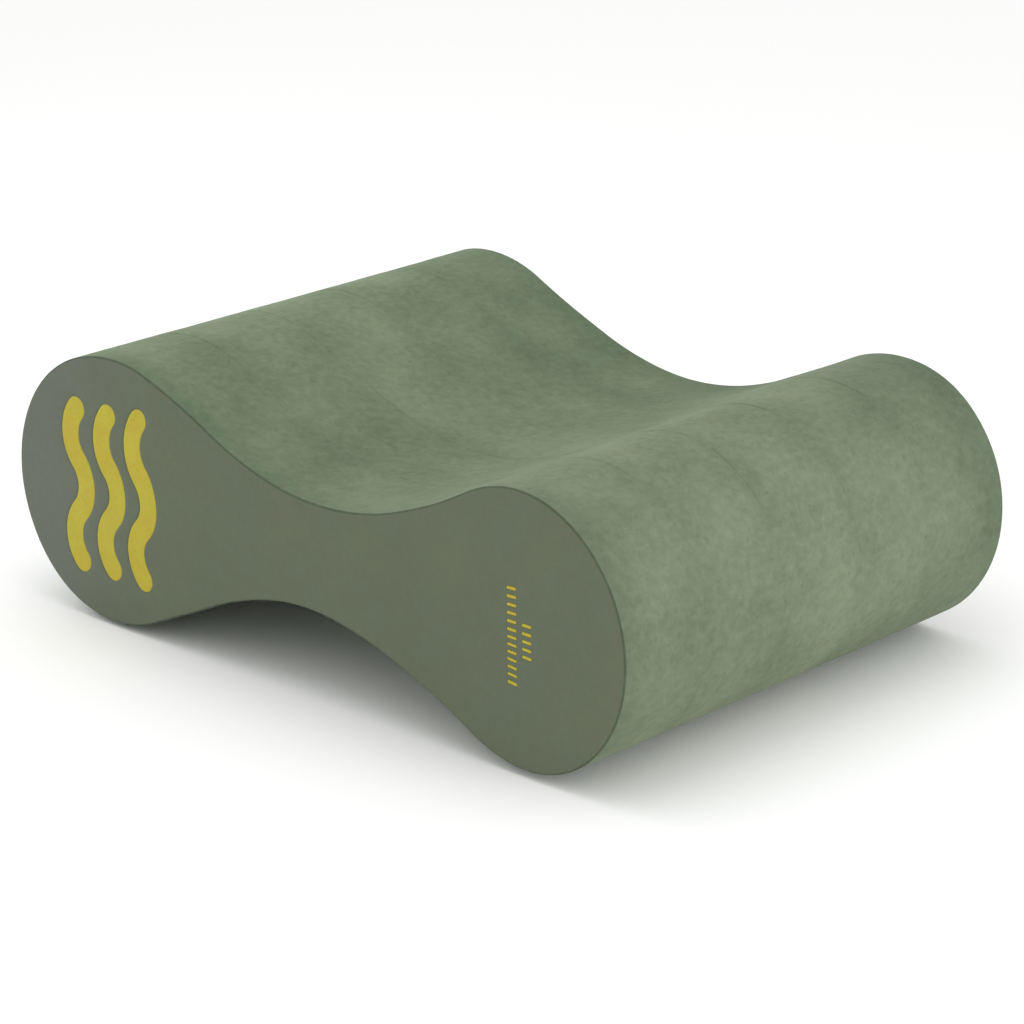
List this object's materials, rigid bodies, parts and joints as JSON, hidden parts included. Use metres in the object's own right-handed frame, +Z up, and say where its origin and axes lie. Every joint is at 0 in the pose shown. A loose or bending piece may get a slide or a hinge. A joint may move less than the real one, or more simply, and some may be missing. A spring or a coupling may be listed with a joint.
{
  "type": "pull buoy",
  "caption": "Figure-eight foam swimming float with round lobes and a narrow waist that the thighs grip, laminated from slabs, with a printed end face.",
  "frame": {"origin": "on the floor plane the two lobes rest on, under the middle of the float", "axes": "+X along the long axis from the lobe with the printed mark to the other lobe, +Y along the depth from the printed end face to the plain end face, +Z up through the thickness"},
  "size_m": [0.234, 0.155, 0.0776],
  "materials": {
    "eva_foam": "matte closed-cell foam, buffed sides, smooth end faces",
    "contact_adhesive": "matte cured adhesive",
    "print_ink": "matte screen-print ink"
  },
  "bodies": {
    "root": {"printed_end_slab": "eva_foam", "front_inner_slab": "eva_foam", "centre_slab": "eva_foam", "rear_inner_slab": "eva_foam", "plain_end_slab": "eva_foam", "front_outer_bond_film": "contact_adhesive", "front_inner_bond_film": "contact_adhesive", "rear_inner_bond_film": "contact_adhesive", "rear_outer_bond_film": "contact_adhesive", "wave_mark_print": "print_ink", "date_code_print": "print_ink"}
  },
  "joints": []
}
